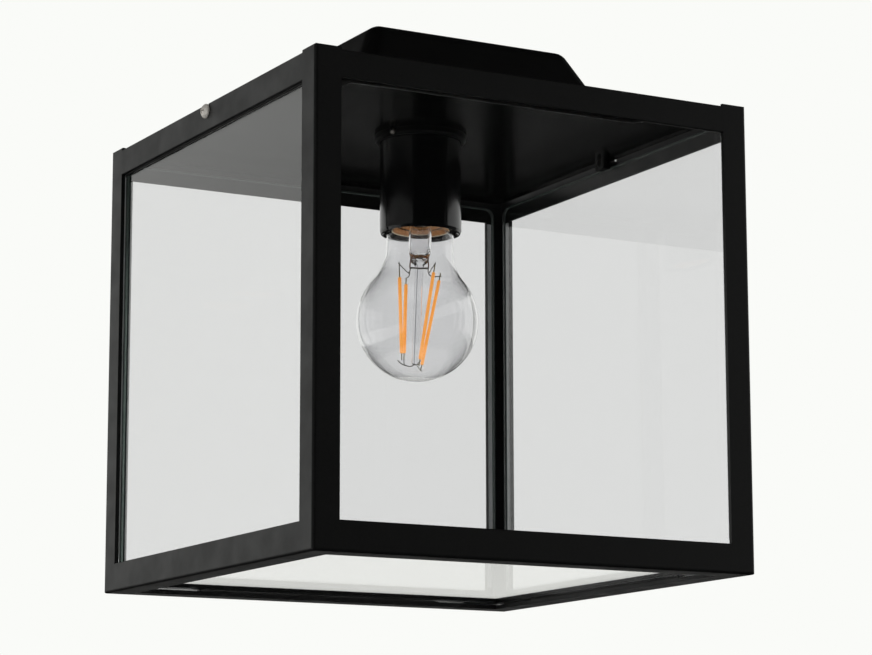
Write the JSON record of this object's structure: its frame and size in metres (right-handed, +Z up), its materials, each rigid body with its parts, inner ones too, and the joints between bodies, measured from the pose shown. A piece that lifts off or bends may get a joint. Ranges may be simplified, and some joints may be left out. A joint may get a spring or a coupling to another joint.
{
  "type": "porch ceiling lantern",
  "caption": "Square black metal ceiling lantern for a porch: clear-glazed cage that drops off its ceiling plate, pressed canopy, screw lampholder and clear filament lamp.",
  "frame": {"origin": "centre of the canopy's flat top, in the plane that bears on the ceiling", "axes": "+Z up out of the ceiling face, -Y the front face, -X the left face, square with the cage's sides"},
  "size_m": [0.2352, 0.23, 0.258],
  "materials": {
    "frame_powder_coat": "fine-texture matt powder coat",
    "plate_semigloss_black": "semi-gloss paint",
    "canopy_black": "fine-texture satin powder coat",
    "zinc_plate": "bright zinc plating",
    "pane_glass": "clear float glass",
    "clear_silicone": "clear silicone, glossy",
    "black_foam": "matt foam",
    "grommet_rubber": "matt",
    "phenolic_black": "polished moulding",
    "steatite": "unglazed",
    "brass": "bright",
    "bronze": "bright",
    "white_nylon": "satin",
    "brown_insulation": "satin",
    "blue_insulation": "satin",
    "green_yellow_insulation": "satin, green and yellow",
    "lamp_glass": "clear blown glass",
    "nickel_cap": "nickel plating, satin",
    "black_glass": "fused black glass",
    "tin_contact": "tinned solder",
    "phosphor_amber": "phosphor-filled silicone, amber",
    "nickel_wire": "drawn wire"
  },
  "bodies": {
    "fixture": {"ceiling_plate": "plate_semigloss_black", "threaded_blocks": "plate_semigloss_black", "canopy": "canopy_black", "canopy_lugs": "plate_semigloss_black", "canopy_screws": "zinc_plate", "cable_grommet": "grommet_rubber", "holder_flange": "phenolic_black", "holder_skirt": "phenolic_black", "holder_insert": "steatite", "holder_shell": "brass", "holder_contact": "bronze", "holder_nipple": "zinc_plate", "nipple_nut": "zinc_plate", "holder_lock_screw": "zinc_plate", "terminal_block": "white_nylon", "terminal_tubes": "brass", "terminal_screws": "zinc_plate", "live_wire": "brown_insulation", "neutral_wire": "blue_insulation", "earth_wire": "green_yellow_insulation", "earth_stud": "brass", "earth_nut": "brass"},
    "cage": {"post_front_left": "frame_powder_coat", "post_front_right": "frame_powder_coat", "post_back_right": "frame_powder_coat", "post_back_left": "frame_powder_coat", "top_rail_front": "frame_powder_coat", "top_rail_right": "frame_powder_coat", "top_rail_back": "frame_powder_coat", "top_rail_left": "frame_powder_coat", "bottom_rail_front": "frame_powder_coat", "bottom_rail_right": "frame_powder_coat", "bottom_rail_back": "frame_powder_coat", "bottom_rail_left": "frame_powder_coat", "pane_front": "pane_glass", "pane_right": "pane_glass", "pane_back": "pane_glass", "pane_left": "pane_glass", "pane_bottom": "pane_glass", "pane_bedding": "clear_silicone", "bottom_pads": "black_foam"},
    "screw_left": {"cage_screw_left": "zinc_plate"},
    "screw_right": {"cage_screw_right": "zinc_plate"},
    "lamp_contact": {"bulb_contact": "tin_contact"},
    "lamp": {"bulb_glass": "lamp_glass", "bulb_cap": "nickel_cap", "bulb_insulator": "black_glass", "bulb_stem": "lamp_glass", "bulb_filaments": "phosphor_amber", "bulb_supports": "nickel_wire"}
  },
  "joints": [
    {"name": "cage_drop", "type": "slide", "parent": "fixture", "child": "cage", "axis": [0, 0, -1], "range_m": [0, 0.14]},
    {"name": "screw_left_out", "type": "slide", "parent": "fixture", "child": "screw_left", "axis": [-1, 0, 0], "range_m": [0, 0.003]},
    {"name": "screw_right_out", "type": "slide", "parent": "fixture", "child": "screw_right", "axis": [1, 0, 0], "range_m": [0, 0.003]},
    {"name": "lamp_feed", "type": "slide", "parent": "fixture", "child": "lamp_contact", "axis": [0, 0, -1], "range_m": [0, 0.0182]},
    {"name": "lamp_turn", "type": "hinge", "parent": "lamp_contact", "child": "lamp", "pos_m": [0, 0, -0.062], "axis": [0, 0, -1], "range_deg": [0, 1800]}
  ],
  "couplings": [
    {"joint": "lamp_feed", "follows": "lamp_turn", "m_per_rad": 0.00057757}
  ]
}
